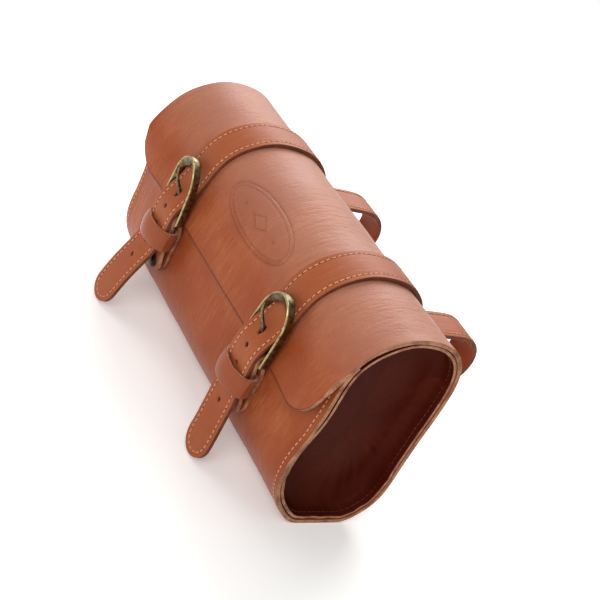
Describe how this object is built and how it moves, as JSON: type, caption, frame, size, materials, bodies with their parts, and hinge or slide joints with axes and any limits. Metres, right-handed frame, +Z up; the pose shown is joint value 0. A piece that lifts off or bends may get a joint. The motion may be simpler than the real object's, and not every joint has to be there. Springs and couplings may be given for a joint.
{
  "type": "leather handlebar bag",
  "caption": "Short leather roll bag with a wrap-over flap, closed by buckled straps, with loops behind it that go round a handlebar.",
  "frame": {"origin": "under the middle of the whole part, bar loops and buckles included, on the plane it rests on", "axes": "+X along the bag's length, -Y towards its front with the buckles, +Y towards the bar loops, +Z up"},
  "size_m": [0.216, 0.1534, 0.1271],
  "materials": {
    "body_leather": "waxed full-grain leather, tan with pale pull-up creases",
    "end_leather": "waxed full-grain leather, darker tan",
    "strap_leather": "waxed strap leather with burnished edges",
    "keeper_leather": "smooth waxed leather",
    "brass": "aged brass with polished edges",
    "dark_metal": "blackened rivet cap"
  },
  "bodies": {
    "root": {"wrap": "body_leather", "end_panel_left": "end_leather", "end_panel_right": "end_leather", "belt_left": "strap_leather", "belt_right": "strap_leather", "buckle_strap_left": "strap_leather", "buckle_strap_right": "strap_leather", "buckle_left": "brass", "buckle_right": "brass", "tongue_left": "brass", "tongue_right": "brass", "keeper_left": "keeper_leather", "keeper_right": "keeper_leather", "rivet_left": "dark_metal", "rivet_right": "dark_metal", "bar_loop_left": "strap_leather", "bar_loop_right": "strap_leather"}
  },
  "joints": []
}
